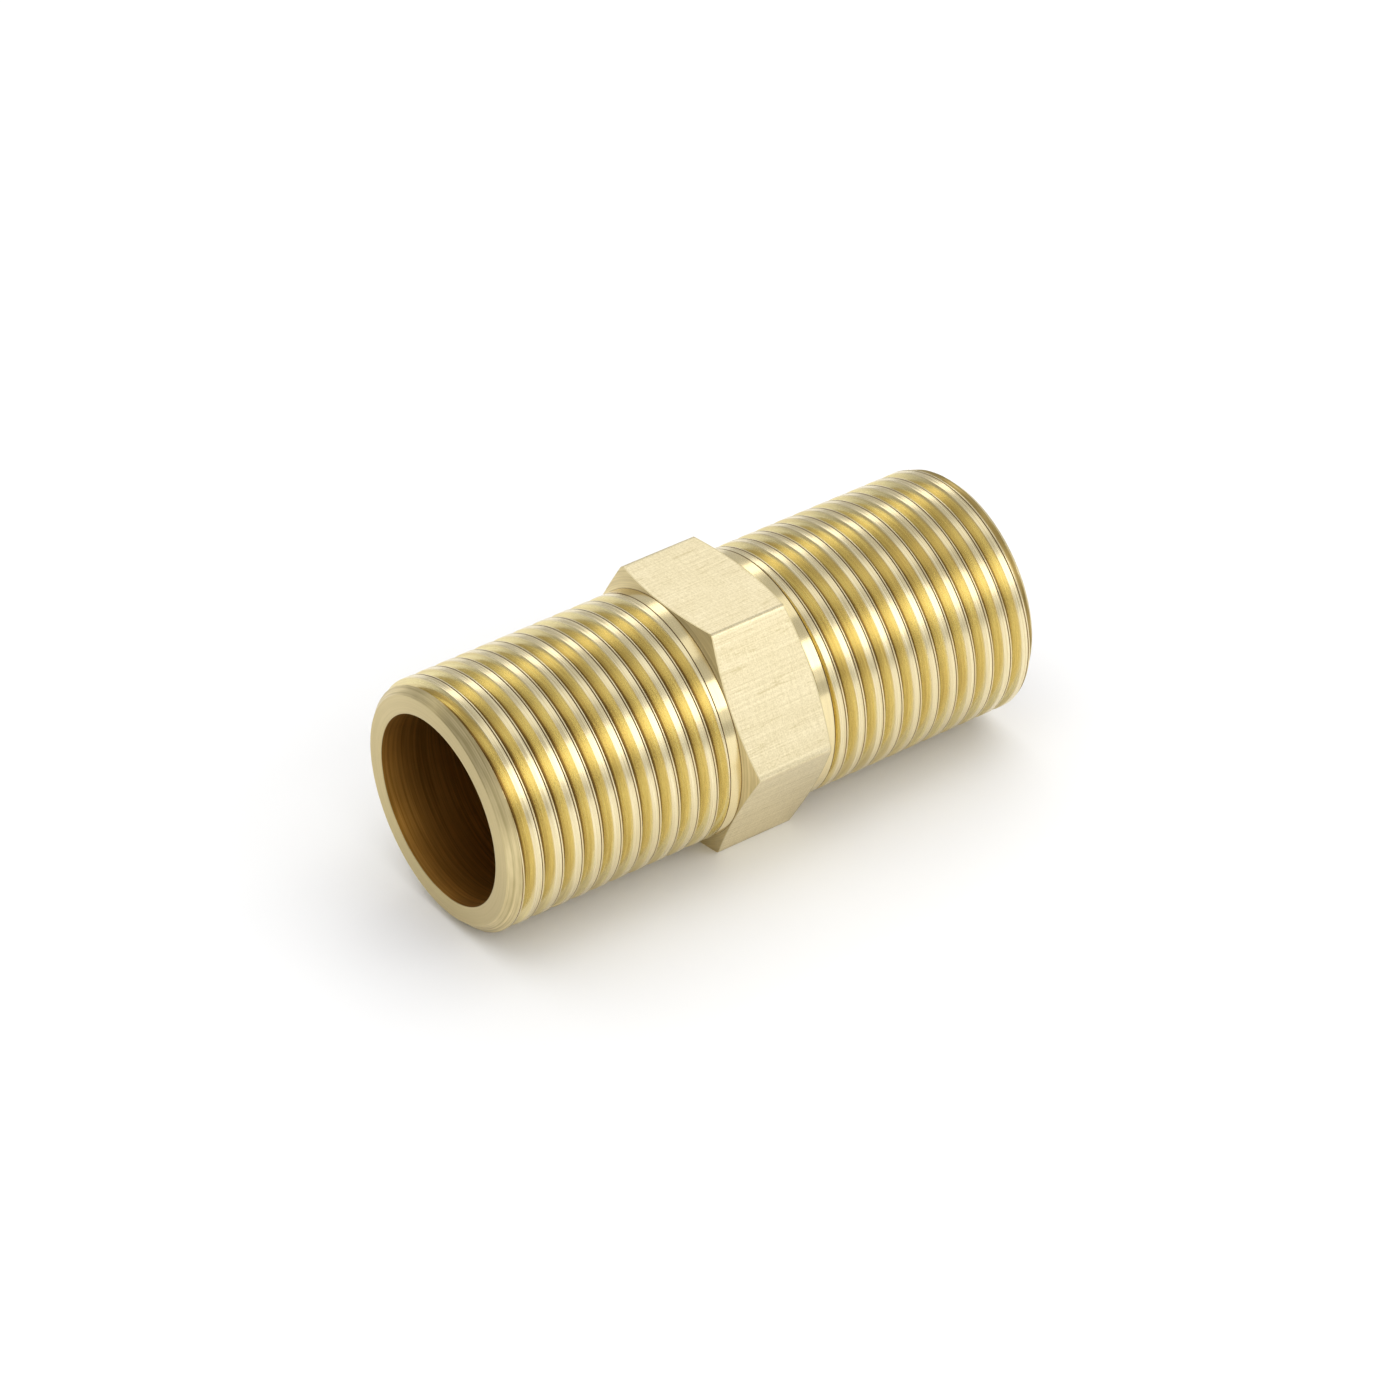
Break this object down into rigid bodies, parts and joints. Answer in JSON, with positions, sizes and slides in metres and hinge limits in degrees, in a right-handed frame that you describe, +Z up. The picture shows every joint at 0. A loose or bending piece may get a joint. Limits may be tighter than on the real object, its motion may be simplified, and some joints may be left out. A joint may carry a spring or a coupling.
{
  "type": "hex nipple",
  "caption": "Brass hex nipple: a straight pipe coupling with a male parallel thread at each end, a wrench hex in the middle and a plain bore from end to end",
  "frame": {"origin": "on the bore axis, at the middle of the hex", "axes": "+X along the bore, +Z up through the middle of a hex flat, with the opposite flat facing down"},
  "size_m": [0.0508, 0.0242, 0.021],
  "materials": {
    "brass": "bare machined brass: satin drawn flats, bright turned thread"
  },
  "bodies": {
    "root": {"nipple_body": "brass"}
  },
  "joints": []
}
